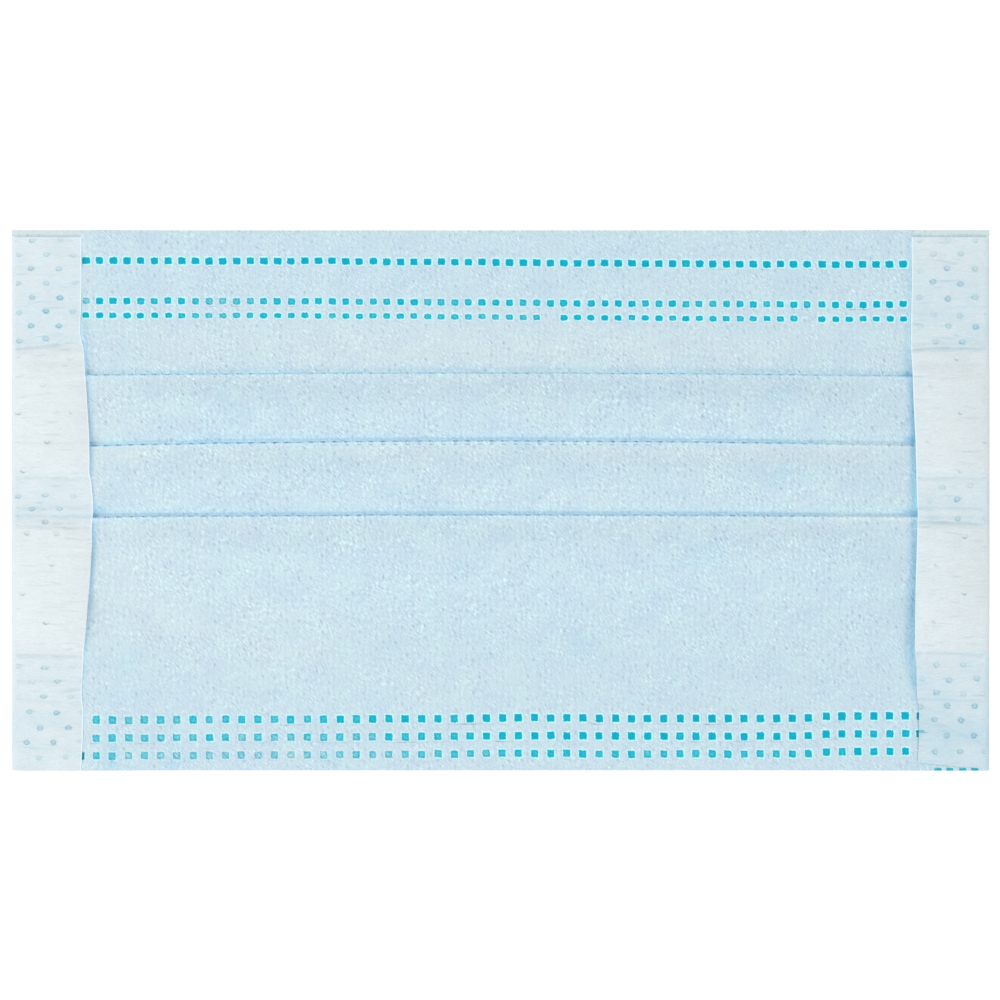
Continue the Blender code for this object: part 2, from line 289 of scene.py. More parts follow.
RIGHT_MARKS = table(
    MARK_COLUMNS,
    (46.5, 2.6, 4.9, 0.5), (44.0, 0.5, 4.8, 0.7), (41.3, 2.6, 4.9, 0.7), (38.8, 0.4, 4.8, 1.0),
    (36.1, 2.6, 4.9, 1.0), (33.4, 0.4, 4.8, 1.0), (30.9, 2.6, 4.9, 0.9), (28.4, 5.0, 4.8, 0.6),
    (25.5, 5.9, 9.7, 0.0), (20.5, 0.9, 9.7, 0.0), (15.6, 5.4, 9.9, 0.0), (10.5, 1.3, 9.8, 0.0),
    (5.4, 5.3, 9.9, 0.0), (2.5, 3.6, 4.9, 0.7), (0.0, 6.0, 4.9, 0.8), (-3.2, 0.8, 5.1, 0.7),
    (-6.3, 4.8, 9.7, 0.0), (-11.3, 9.6, 9.7, 0.0), (-16.5, 4.8, 9.7, 0.0), (-21.5, 9.9, 9.7, 0.0),
    (-29.4, 4.7, 4.75, 0.6), (-32.0, 2.3, 4.85, 0.6), (-34.5, 0.3, 4.6, 0.7), (-36.9, 2.65, 4.9, 1.0),
    (-39.4, 0.35, 4.8, 1.0), (-42.1, 2.9, 4.9, 1.0), (-45.0, 0.7, 4.5, 0.7))
MARK_DEPTH = 0.12 * MM
# The size and strength of the marks at each height
LOOK_COLUMNS = "y half_wide half_high | strength"
LEFT_LOOKS = table(
    LOOK_COLUMNS,
    (47.0, 0.48, 0.33, 1.0), (-27.0, 0.48, 0.33, 1.0), (-30.0, 0.58, 0.28, 0.95), (-36.0, 0.56, 0.29, 0.95),
    (-37.0, 0.43, 0.36, 1.00), (-48.0, 0.43, 0.36, 0.85))
RIGHT_LOOKS = table(
    LOOK_COLUMNS,
    (47.0, 0.46, 0.40, 0.82), (-34.0, 0.46, 0.40, 0.80), (-37.0, 0.44, 0.40, 1.30), (-48.0, 0.44, 0.40, 1.30))

# Creases across the bands. end is how far inwards they reach.
CREASE_COLUMNS = "y_inner y_outer depth width end"
LEFT_CREASES = table(
    CREASE_COLUMNS,
    (28.35, 26.75, 0.22, 0.30, 10.5), (10.3, 10.2, 0.10, 0.25, 20), (3.6, 4.0, 0.14, 0.30, 20),
    (-1.1, -1.5, 0.12, 0.22, 20), (-2.9, -2.9, 0.20, 0.30, 20), (-5.0, -4.6, 0.12, 0.25, 20),
    (-28.1, -27.8, 0.20, 0.30, 20), (-32.5, -32.4, 0.12, 0.25, 20), (-36.3, -35.6, 0.10, 0.25, 20))
RIGHT_CREASES = table(
    CREASE_COLUMNS,
    (26.9, 27.0, 0.20, 0.30, 20), (3.8, 3.8, 0.16, 0.28, 20), (-1.4, -1.5, 0.14, 0.22, 20),
    (-4.0, -4.3, 0.18, 0.30, 20), (-27.4, -27.7, 0.18, 0.28, 20), (-35.6, -35.8, 0.12, 0.25, 20),
    (-36.8, -40.6, 0.05, 0.30, 20), (-38.2, -44.2, 0.05, 0.30, 20))
# Dark torn spots
RIGHT_NICKS = table(
    "inward y length half_high | strength",
    (12.3, -41.35, 0.50, 0.18, 2.2), (11.7, -41.6, 0.60, 0.12, 1.1))
FINE_WRINKLES = 170

# feet is where the band's foot lies, in mm, at shares of its width from the inner edge out. The rim table is
# how strong the painted highlight along the inner edge is, at heights in mm.
Side = namedtuple("Side", "sign marks looks creases nicks feet rims seed")
SIDES = {
    "left": Side(
        sign=-1, marks=LEFT_MARKS, looks=LEFT_LOOKS, creases=LEFT_CREASES, nicks=(), seed=21,
        feet=((0, -48.40), (1, -48.40)),
        rims=((-48, 0.9), (-27, 0.9), (-24, 0.2), (-9, 0.2), (-5, 1.0), (4, 1.0), (10, 0.8), (20, 0.7),
              (47, 1.0))),
    "right": Side(
        sign=1, marks=RIGHT_MARKS, looks=RIGHT_LOOKS, creases=RIGHT_CREASES, nicks=RIGHT_NICKS, seed=34,
        feet=((0, -46.95), (0.53, -47.65), (0.84, -47.92), (0.90, -48.42), (1, -48.42)),
        rims=((-48, 0.0), (-18, 0.2), (-13, 0.8), (4, 0.9), (47, 0.8))),
}

RIM = 0.4 * MM  # what a cut edge takes of the unfolded cloth's plan
SHARP_ANGLE = math.radians(55)


# ---------------------------------------------------------------- small functions
def ramp(value, start, end):
    """0 up to start, 1 from end on, and smooth between them. start may be the higher of the two."""
    share = np.clip((value - start) / (end - start), 0.0, 1.0)
    return share * share * (3 - 2 * share)


def bump_curve(distance, width):
    return np.exp(-((distance / width) ** 2))


def smooth_noise(x, y, wide, high, seed, shift=(0.0, 0.0)):
    """Noise from -1 to 1 over the plane. It has one random value for each step of wide by high."""
    size = 64
    values = np.random.default_rng(seed).uniform(-1, 1, (size, size))
    u, v = x / wide + shift[0], y / high + shift[1]
    column, row = np.floor(u).astype(int), np.floor(v).astype(int)
    across, down = ramp(u - column, 0, 1), ramp(v - row, 0, 1)

    def corner(right, below):
        return values[(row + below) % size, (column + right) % size]

    near = corner(0, 0) * (1 - across) + corner(1, 0) * across
    far = corner(0, 1) * (1 - across) + corner(1, 1) * across
    return near * (1 - down) + far * down


def held(x):
    """How firmly the side bands hold the panel at x: 0 over its free middle, 1 inside the bands."""
    return ramp(np.abs(x), FREE_HALF_WIDTH, HELD_HALF_WIDTH)


def low_level(x, y):
    """The middle of the panel's lowest layer."""
    free = 1 - held(x)
    hump = HUMP * ramp(y, 28 * MM, 14 * MM) * ramp(y, -24 * MM, -8 * MM)
    wave = WAVE * smooth_noise(x, y, 23 * MM, 15 * MM, SEED, (9.3, 4.1))
    ripple = RIPPLE * smooth_noise(x, y, 8 * MM, 6 * MM, SEED + 1, (3.7, 1.9))
    uneven = (0.25 + 0.75 * free) * (wave + ripple)
    return REST_LEVEL + held(x) * (HELD_LEVEL - REST_LEVEL) + free * hump + uneven


def fold_edge(pleat, x):
    """The height of a pleat's fold at x."""
    drop = np.where(x < 0, pleat.drop_left, pleat.drop_right)
    wander = 0.05 * MM * smooth_noise(x, pleat.depth, 7 * MM, MM, SEED + 2, (2.2, 0))
    return pleat.edge - drop * (x / HELD_HALF_WIDTH) ** 2 + wander


def fold_painted_light(distance):
    """How strongly the cloth is painted paler and bluer, as a highlight on the fold, this far down from a
    fold.
    """
    return FOLD_PAINTED_LIGHT * np.exp(-distance / FOLD_FADE)


def loft(share, x):
    """The extra height between two layers of a pleat, from its visible fold, 0, to its hidden one, 1."""
    return LOFT * (1 - held(x)) * np.sin(np.pi * np.clip(share, 0, 1)) ** 2


def surface_normals(points):
    normals = np.cross(np.gradient(points, axis=0), np.gradient(points, axis=1))
    return normals / np.linalg.norm(normals, axis=-1, keepdims=True)


def spaced(*stretches):
    """The places of several stretches, (start, end, count), that follow on each other."""
    return np.concatenate([np.linspace(*stretch)[(i > 0):] for i, stretch in enumerate(stretches)])


def add_object(name, data):
    thing = bpy.data.objects.new(name, data)
    bpy.context.scene.collection.objects.link(thing)
    return thing


class Skin:
    """Gathers the vertices, attributes and faces of one piece of cloth.

    Its attribute "cloth" holds each vertex's place on the unfolded cloth, and 0 for the outer face or 1 for
    the inner one. The other attributes are single numbers.
    """

    def __init__(self, *names):
        self.points, self.cloth, self.faces, self.count = [], [], [], 0
        self.attributes = {name: [] for name in names}

    def grid(self, points, cloth_x, cloth_y, face, **attributes):
        """Adds rows x columns vertices with the quads between them, and gives back their numbers.

        An attribute that isn't given is 0.
        """
        shape = points.shape[:2]
        numbers = self.count + np.arange(shape[0] * shape[1]).reshape(shape)
        self.count += numbers.size
        self.points.append(points.reshape(-1, 3))
        self.cloth.append(np.stack((cloth_x, cloth_y, np.full(shape, face)), axis=-1).reshape(-1, 3))
        for name, store in self.attributes.items():
            store.append(np.broadcast_to(attributes.get(name, 0.0), shape).ravel())
        quads = np.stack((numbers[:-1, :-1], numbers[1:, :-1], numbers[1:, 1:], numbers[:-1, 1:]), axis=-1)
        self.faces += quads.reshape(-1, 4).tolist()
        return numbers

    def join(self, near, near_places, far, far_places):
        """Joins two rows of vertices that run side by side, whatever their numbers of vertices."""
        i = j = 0
        while i < len(near) - 1 or j < len(far) - 1:
            step_near = j == len(far) - 1 or (i < len(near) - 1 and near_places[i + 1] <= far_places[j + 1])
            corner = near[i + 1] if step_near else far[j + 1]
            self.faces.append([int(near[i]), int(far[j]), int(corner)])
            i, j = (i + 1, j) if step_near else (i, j + 1)

    def unfold(self, mesh):
        """Lays the unfolded cloth out as a UV map, its outer face beside its inner one."""
        cloth = np.concatenate(self.cloth)
        corners = np.empty(len(mesh.loops), int)
        mesh.loops.foreach_get("vertex_index", corners)
        starts = np.empty(len(mesh.polygons), int)
        mesh.polygons.foreach_get("loop_start", starts)
        place = cloth[corners]
        inner = place[:, 2] > 0.5
        rim_face = np.logical_or.reduceat(inner, starts) & np.logical_or.reduceat(~inner, starts)
        on_rim = np.repeat(rim_face, np.diff(np.append(starts, len(corners))))
        low, high = cloth.min(axis=0), cloth.max(axis=0)
        for axis in (0, 1):  # the rim's own faces stand out round the outer face
            reach = (place[:, axis] > high[axis] - RIM / 4) * 1.0 - (place[:, axis] < low[axis] + RIM / 4)
            place[:, axis] += reach * RIM * (on_rim & inner)
        place[on_rim, 2] = 0.0
        wide, tall = high[0] - low[0] + 4 * RIM, high[1] - low[1] + 4 * RIM
        scale = 1 / max(2 * wide, tall)
        u = (place[:, 0] - low[0] + 2 * RIM + place[:, 2] * wide) * scale
        v = (place[:, 1] - low[1] + 2 * RIM) * scale
        uv = np.stack((u, v), axis=-1).astype(np.float32)
        mesh.uv_layers.new(name="OFBake").data.foreach_set("uv", uv.ravel())

    def build(self, name, material):
        mesh = bpy.data.meshes.new(name)
        mesh.from_pydata(np.concatenate(self.points).tolist(), [], self.faces)
        stores = [("cloth", "FLOAT_VECTOR", "vector", self.cloth)]
        stores += [(attribute, "FLOAT", "value", parts) for attribute, parts in self.attributes.items()]
        for attribute, kind, field, parts in stores:
            values = np.concatenate(parts).astype(np.float32).ravel()
            mesh.attributes.new(attribute, kind, "POINT").data.foreach_set(field, values)
        shell = bmesh.new()
        shell.from_mesh(mesh)
        bmesh.ops.recalc_face_normals(shell, faces=shell.faces)
        shell.to_mesh(mesh)
        shell.free()
        self.unfold(mesh)
        mesh.shade_smooth()
        mesh.set_sharp_from_angle(angle=SHARP_ANGLE)
        mesh.materials.append(material)
        return add_object(name, mesh)


# ---------------------------------------------------------------- what colours the panel
def corner_cloth(x, y):
    """1 at the corners over the bands, and 0 elsewhere."""
    return ramp(y, 46.9 * MM, 47.1 * MM) * ramp(np.abs(x), 72.5 * MM, 77.5 * MM)


def grain(x, y):
    """How plainly the cloth's fibres and bond points show: most on the pleats, least at the corners."""
    strips = ramp(y, 27 * MM, 23 * MM) * ramp(y, -36 * MM, -22 * MM) * (1 - 0.9 * held(x))
    return (0.76 + 0.24 * strips) * (1 - 0.6 * corner_cloth(x, y))


def spots(x, y, where):
    """Soft spots added up, 0 to about 1."""
    return sum(spot.strength * np.exp(-(((x - spot.x) / spot.wide) ** 2 + ((y - spot.y) / spot.high) ** 2))
               for spot in where)


def past_band(x, y):
    """How far inwards a place lies from the nearer band's inner edge, in mm, with less than 0 below it."""
    return (HALF_WIDTH - at_side(BAND_ROWS, "", x, y) - np.abs(x)) / MM


def paleness(x, y):
    """Where the cloth looks paler: in patches and at the corners, and with painted light: a highlight below
    the folds, light against the shade at the pleats' right ends, and light against the shadow beside the left
    band.
    """
    glow = ends = 0.0
    for pleat in PLEATS:
        below = fold_edge(pleat, x) - y
        # painted highlight on the cloth just below each fold
        glow = glow + pleat.glow * bump_curve(below - 2.0 * MM, 1.2 * MM)
        ends = ends + pleat.faint ** 2 * bump_curve(below - FOLD_INSET, 0.7 * MM)
    # painted light against the shade at the pleats' right ends
    ends = 1.6 * ends * ramp(x, 52 * MM, 62 * MM)
    # painted light against the shadow beside the left band
    beside = 0.5 * (x < 0) * bump_curve(past_band(x, y), 2.2) * (y < BAND_TOP)
    return np.clip(spots(x, y, PALE_PATCHES) + glow + ends + corner_cloth(x, y), 0, 1) + beside


def looks(x, y):
    """What colours the outer face at each place, whatever its folds and welds: stains, paler cloth with its
    painted light, grain, and the painted light and shade beside the bands and at the wedges.
    """
    return {
        "stain": spots(x, y, STAINS), "pale": paleness(x, y), "grain": grain(x, y), "past": past_band(x, y),
        "shade_rate": 1 / at_side(SHADE_ROWS, "_width", x, y),
        "shade_depth": at_side(SHADE_ROWS, "_depth", x, y),
        "lift": at_side(SHADE_ROWS, "_lift", x, y),
        "blue": at_side(SHADE_ROWS, "_blue", x, y),
        "wedge": spots(x, y, SHADE_WEDGES)}


# ---------------------------------------------------------------- panel
def corner_x(x, y):
    """Widens the panel to the mask's whole width above the bands."""
    reach = (HALF_WIDTH - CORNER_START) / (PANEL_END - CORNER_START)
    wide = np.sign(x) * (CORNER_START + (np.abs(x) - CORNER_START) * reach)
    share = np.clip((y - CORNER_FOOT) / (CORNER_TOP - CORNER_FOOT), 0, 1)
    return x + (wide - x) * share * (np.abs(x) > CORNER_START)


def roll_shift(pairs, x):
    """How far a roll's drift or slide moves its squares at x."""
    return read(pairs, x / MM) * MM


def roll_x(roll, column):
    """The middle of a column of squares."""
    past = max(column - roll.seam, 0)
    x = roll.start + roll.pitch * (column - past) + roll.seam_pitch * past
    if column >= roll.seam:
        x += roll.seam_gap
    return float(x + roll_shift(roll.slide, x))


def square_lines(half):
    """Where the grid crosses a weld square of this half size, and the foot of its slopes, in half sizes."""
    foot = 1 + WELD_SLOPE / half
    return (-foot, -1.0, -1 / 3, 1 / 3, 1.0, foot)


def cloth_lines(places):
    return [(place, -1, 0.0) for place in places]


def weld_stations(roll, marks):
    """The grid's places across a weld zone from end to end, as (x, square or -1, place in the square)."""
    centres = [(roll_x(roll, i), i, SQUARE_HALF) for i in range(roll.columns)]
    centres += [(x, roll.columns + i, EDGE_MARK_HALF) for i, x in enumerate(marks)]
    found, last = [], -PANEL_END
    for x, square, half in centres:
        start = x - half - WELD_SLOPE
        if start - last > LEAST_GAP:
            gap = np.linspace(last, start, max(2, int((start - last) / STEP_ACROSS) + 2))
            found += cloth_lines(gap[(1 if found else 0):-1])
        found += [(x + place * half, square, place) for place in square_lines(half)]
        last = x + half + WELD_SLOPE
    return found + cloth_lines(np.linspace(last, PANEL_END, 6)[1:])


def weld_heights(rows, top, bottom, marks):
    """The grid's places down a weld zone, as (height, row of squares or -1, place in the squares)."""
    found, last = [], top
    if top > CORNER_TOP:
        found += cloth_lines((top, 47.9 * MM, CORNER_TOP))
        last = CORNER_FOOT
    for number, row in enumerate(rows):
        places = square_lines(row.half_high)[::-1]
        start = row.y + row.half_high * places[0]
        found += cloth_lines(np.linspace(last, start, max(2, round((last - start) / STEP_DOWN)) + 1)[:-1])
        found += [(row.y + place * row.half_high, number, place) for place in places]
        last = row.y + row.half_high * places[-1]
    if not marks:
        return found + cloth_lines(np.linspace(last, bottom, round((last - bottom) / STEP_DOWN) + 1)[1:])
    slope_foot = EDGE_MARK_TOP + WELD_SLOPE
    found += cloth_lines([(last + slope_foot) / 2])
    return found + [(slope_foot, len(rows), 2.0), (EDGE_MARK_TOP, len(rows), 1.0), (bottom, len(rows), 0.0)]


def weld_zone(skin, roll, rows, top, bottom, hidden=0.0, marks=()):
    """Builds the outer face of a weld zone, from height top down to bottom. Returns its numbers, x and y.

    hidden is how much cloth the pleats above it take up.
    """
    chance = np.random.default_rng(SEED + roll.columns)
    across, square, place_across = map(np.array, zip(*weld_stations(roll, marks)))
    heights = weld_heights(rows, top, bottom, marks)
    level, owner, place_down = (np.array(part)[:, None] for part in zip(*heights))
    marked = owner == len(rows)
    drift = roll_shift(roll.drift, across) * ramp(np.minimum(top - level, level - bottom), 0, 1.0 * MM)
    y = level + drift * ~marked
    x = across + 0 * y
    cut = 1.0 * (marked & (place_down <= 1.0) & (square >= roll.columns) & (np.abs(place_across) <= 1.001))
    pit, weld, bond = WELD_DEPTH * cut, 1.0 * cut, 0.8 * cut
    for number, row in enumerate(rows):
        here = np.nonzero(owner[:, 0] == number)[0]
        for i in range(roll.columns):
            shift, size = chance.normal(0, SHIFT_SPREAD, 2), chance.normal(1, SIZE_SPREAD, 2)
            lean, luck = chance.normal(0, LEAN_SPREAD), chance.normal(0, LUCK_SPREAD)
            if i in row.missing:
                continue
            which = np.nonzero(square == i)[0]
            u, v = np.meshgrid(place_across[which], place_down[here, 0])
            round_u = u * np.sqrt(1 - row.rounding * np.clip(v * v, 0, 1))
            round_v = v * np.sqrt(1 - row.rounding * np.clip(u * u, 0, 1))
            centre = across[which].mean()
            those = np.ix_(here, which)
            x[those] = centre + shift[0] + (round_u * row.half_wide - lean * round_v * SQUARE_HALF) * size[0]
            y[those] = (row.y + roll_shift(roll.drift, centre) + shift[1]
                        + (round_v * row.half_high + lean * round_u * SQUARE_HALF) * size[1])
            inside = (np.abs(u) <= 1.001) & (np.abs(v) <= 1.001)
            heart = (np.abs(u) < 0.5) & (np.abs(v) < 0.5)
            pit[those] = WELD_DEPTH * inside
            weld[those] = inside + 1.0 * heart
            bond[those] = np.clip(read(row.wear, i) + luck, 0.2, 1.0)
    z = low_level(x, y) + CLOTH / 2 - pit
    x = corner_x(x, y)
    points = np.stack((x, y, z), axis=-1)
    # line paints the half-cut marks darker, as the painted shade of the right band's foot
    return skin.grid(points, x, y - hidden, 0, weld=weld, bond=bond, line=cut, **looks(x, y)), x, y


def pleat_rows(x):
    """The middle of the pleats' cloth at these x, as rows of (y, z, crease, dash, line)."""
    # crease is how much the cloth is painted paler and bluer where the folds' shade falls and on their brows,
    # and line is the painted dark shade line along each brow
    rows = []

    def put(y, z, crease=0.0, dash=0.0, line=0.0):
        rows.append([value + 0 * x for value in (y, z, crease, dash, line)])

    def lay(y, above, crease=0.0, dash=0.0):
        put(y, low_level(x, y) + above, crease, dash)

    dashed = ramp(x, -36 * MM, -26 * MM) * ramp(x, 50 * MM, 5 * MM)
    right_end = ramp(x, 50 * MM, 64 * MM)
    radius = PRESSED_PITCH / 2
    start, from_top = NOSE_ZONE_END - ZONE_GAP, 0.0
    for pleat in PLEATS:
        uneven = 1 + 0.25 * smooth_noise(x, pleat.depth, 9 * MM, MM, SEED + 4, (1.7, 3))
        # painted light on the fold's shade above it, and the painted shade line along it, both weaker near
        # the right band
        clear = pleat.clear * uneven * (1 - 0.3 * right_end)
        line = pleat.line * uneven * (1 - pleat.faint * right_end)
        edge = fold_edge(pleat, x) - FOLD_INSET
        back = edge - pleat.depth
        for share in STRIP_LINES:
            y = start + (edge - start) * share
            lay(y, from_top * (1 - ramp(share, 0, 0.93)), clear * np.exp(-(y - edge) / PAINTED_LIGHT_ABOVE_FADE))
        for share in LOW_LINES:
            lay(edge + (back + radius - edge) * share, 0.0, 1.0)
        ground = low_level(x, back)
        for step in range(1, 6):
            turn = -math.pi / 2 - math.pi * step / 6
            put(back + radius + radius * math.cos(turn), ground + radius + radius * math.sin(turn), 1.0)
        for share in MIDDLE_LINES:
            y = back + radius + (edge - back - 2 * radius) * (1 - share)
            lay(y, PRESSED_PITCH + loft(share, x), 1.0)
        ground = low_level(x, edge) + PRESSED_PITCH
        for step, dark in enumerate(BROW_LINE):
            turn = -math.pi / 2 + math.pi * step / (len(BROW_LINE) - 1)
            y = edge - radius + radius * math.cos(turn)
            put(y, ground + radius + radius * math.sin(turn), fold_painted_light(edge - y), 0.0, line * dark)
        for share in TOP_LINES:
            y = edge - radius + (back + radius - edge) * share
            dash = pleat.dashes * dashed * (share in DASH_LINES)
            lay(y, 2 * PRESSED_PITCH + 2 * loft(share, x), fold_painted_light(edge - y), dash)
        start, from_top = back, 2 * PRESSED_PITCH
    for share in np.linspace(0, 1, 9):
        lay(start - LAST_DIVE * share, from_top * (1 - ramp(share, 0, 1)))
    start = start - LAST_DIVE
    for share in np.linspace(0, 1, 21)[1:]:
        lay(start + (CHIN_ZONE_START + ZONE_GAP - start) * share, 0.0)
    return [np.array(part) for part in zip(*rows)]


def build_panel(material):
    skin = Skin("weld", "bond", "crease", "dash", "line", "stain", "pale", "grain", "past", "shade_rate",
                "shade_depth", "lift", "blue", "wedge")
    nose, nose_x, nose_y = weld_zone(skin, NOSE_ROLL, NOSE_ROWS, NOSE_EDGE, NOSE_ZONE_END)

    across = spaced((-PANEL_END, -76 * MM, 9), (-76 * MM, -69 * MM, 13), (-69 * MM, 69 * MM, 145),
                    (69 * MM, 76 * MM, 13), (76 * MM, PANEL_END, 9))
    y, z, crease, dash, line = pleat_rows(across)
    x = across + 0 * y
    middle = np.stack((x, y, z), axis=-1)
    half_cloth = surface_normals(middle) * CLOTH / 2
    steps = np.linalg.norm(np.diff(middle[:, len(across) // 2], axis=0), axis=-1)
    run = np.concatenate(([0.0], np.cumsum(steps)))
    down = y[0, 0] - run[:, None] + 0 * x
    pleats = skin.grid(middle + half_cloth, x, down, 0, crease=crease, dash=dash, line=line, **looks(x, y))
    hidden = y[-1, 0] - down[-1, 0]
    chin, chin_x, chin_y = weld_zone(
        skin, CHIN_ROLL, CHIN_ROWS, CHIN_ZONE_START, CHIN_EDGE, hidden, EDGE_MARKS)
    skin.join(nose[-1], nose_x[-1], pleats[0], across)
    skin.join(pleats[-1], across, chin[0], chin_x[0])

    def flat_rows(*heights):
        inner_x, inner_y = np.meshgrid(across, heights)
        inner_z = low_level(inner_x, inner_y) - CLOTH / 2
        return np.stack((corner_x(inner_x, inner_y), inner_y, inner_z), axis=-1)

    # the inner face, behind the two weld zones and between them
    upper = flat_rows(
        NOSE_EDGE, CORNER_TOP, CORNER_FOOT, 44 * MM, 41 * MM, 38 * MM, 35 * MM, 32 * MM, 29.5 * MM)
    lower = flat_rows(-38.5 * MM, -41 * MM, -44 * MM, -46.5 * MM, CHIN_EDGE)
    inner = np.concatenate((upper, middle - half_cloth, lower))
    inner_down = np.concatenate((upper[..., 1], down, lower[..., 1] - hidden))
    lining = skin.grid(inner, inner[..., 0], inner_down, 1, grain=1.0, past=9.0)
    skin.join(nose[0], nose_x[0], lining[0], across)
    skin.join(chin[-1], chin_x[-1], lining[-1], across)
    for end in (0, -1):
        outer_numbers = np.concatenate((nose[:, end], pleats[:, end], chin[:, end]))
        outer_down = np.concatenate((nose_y[:, end], down[:, end], chin_y[:, end] - hidden))
        skin.join(outer_numbers, -outer_down, lining[:, end], -inner_down[:, end])
    return skin.build("pleated_panel_cloth", material)


# ---------------------------------------------------------------- side bands
def press_crease(side, crease, reach, inward, y):
    """What a crease across a band does: (height, darkness). The darkness is painted shade: a dark core in the
    crease and a soft shade below it.
    """
    line = crease.y_outer + (crease.y_inner - crease.y_outer) * inward / reach
    line = line + 0.12 * MM * smooth_noise(inward, 90 * crease.depth, 2.2 * MM, MM, side.seed + 3)
    broken = 0.75 + 0.45 * smooth_noise(inward, 70 * crease.width, 1.3 * MM, MM, side.seed + 4)
    depth = crease.depth * ramp(inward, crease.end, crease.end - 2.5 * MM)
    below = y - line
    swell = 0.25 * bump_curve(below - 1.9 * crease.width, 1.4 * crease.width)
    # painted shade: the dark core in the crease and the soft shade below it
    core = 2.3 * broken * bump_curve(below - 0.08 * MM, 0.6 * crease.width)
    shade = 0.35 * bump_curve(below - 0.3 * MM, 2.6 * crease.width)
    return depth * (swell - bump_curve(below, crease.width)), depth / MM * (core + shade)


def press_mark(across, along, ragged, lean, ring):
    """What a pressed mark does, at places given in its half sizes: (height in mark depths, darkness). The
    darkness is partly the mark's own colour and partly painted shade on its lower wall.
    """
    distance = np.hypot(across, along)
    radius = distance * (1 + 0.22 * ragged)
    below = 0.5 - 0.5 * (lean * across + along) / np.maximum(distance, 0.2) / math.hypot(lean, 1)
    below = np.clip(below, 0, 1)
    wall = bump_curve(radius - 1.0, 0.26) * (ring + (1 - ring) * below ** 2)
    tails = bump_curve(across - 0.6 * lean, 2.0) * bump_curve(along - 0.2, 0.22) * (0.35 + 0.45 * ring)
    height = 0.35 * bump_curve(radius, 0.55) - wall * (0.35 + 0.65 * below)
    # painted shade on the wall, heaviest on the lower side, with the mark's own darker fill and tails
    dark = (wall * (0.34 + 0.26 * ring + (0.80 - 0.35 * ring) * below ** 1.5)
            + 0.36 * ring * bump_curve(radius, 0.8) + 0.34 * tails)
    return height, dark


def flap_relief(side, reach, inward, y):
    """Wrinkles, creases and pressed marks of the front flap: (height, how dark the marks are). That darkness
    is painted shade in the creases and wrinkles, and on the pressed marks partly painted shade and partly
    their own colour; the torn spots are dark of their own.
    """
    height = (0.050 * smooth_noise(inward, y, 5.0 * MM, 0.85 * MM, side.seed, (1.3, 0))
              + 0.030 * smooth_noise(inward, y + 0.07 * inward, 3.0 * MM, 0.42 * MM, side.seed + 1)
              + 0.070 * smooth_noise(inward, y, 7.0 * MM, 2.3 * MM, side.seed + 2, (0, 5.1))) * MM
    dark = np.zeros_like(y)
    for crease in side.creases:
        crease_height, crease_dark = press_crease(side, crease, reach, inward, y)
        height += crease_height
        dark += crease_dark
    chance = np.random.default_rng(side.seed)
    for _ in range(FINE_WRINKLES):
        centre_in, centre_y = chance.uniform(0.5 * MM, reach.max()), chance.uniform(-47.5 * MM, 46.5 * MM)
        length, depth = chance.uniform(0.4, 1.9) * MM, chance.uniform(0.2, 1.0) ** 2.5
        line = centre_y + chance.normal(0, 0.08) * (inward - centre_in)
        fold = depth * bump_curve(inward - centre_in, length) * bump_curve(y - line, 0.11 * MM)
        height -= 0.06 * MM * fold
        # painted shade in the wrinkle
        dark += 0.62 * fold
    for nick in side.nicks:
        tear = bump_curve(inward - nick.inward, nick.length) * bump_curve(y - nick.y, nick.half_high)
        dark += nick.strength * tear
    ragged = smooth_noise(inward, y, 0.30 * MM, 0.20 * MM, side.seed + 6)
    for row in side.marks:
        half_wide, half_high, row_strength = (
            at_height(side.looks, name, row.y) for name in ("half_wide", "half_high", "strength"))
        row_strength = row_strength * (1.0 if row.ring else 1.6)
        place = row.first
        while place < reach.max() - 1.3 * MM:
            along = (y - row.y - chance.normal(0, 0.12 * MM)) / half_high
            across = (inward - place - chance.normal(0, 0.1 * MM)) / half_wide
            lean = chance.normal(-0.25, 0.3) * side.sign
            strength = row_strength * chance.uniform(0.55, 1.50)
            if place > 10.5 * MM:
                strength *= 0.45
            if place < MM:
                strength *= 0.4
            mark_height, mark_dark = press_mark(across, along, ragged, lean, row.ring)
            height += MARK_DEPTH * strength * mark_height
            dark += strength * mark_dark
            place += row.pitch
    return height, np.clip(dark, 0, 1.5)


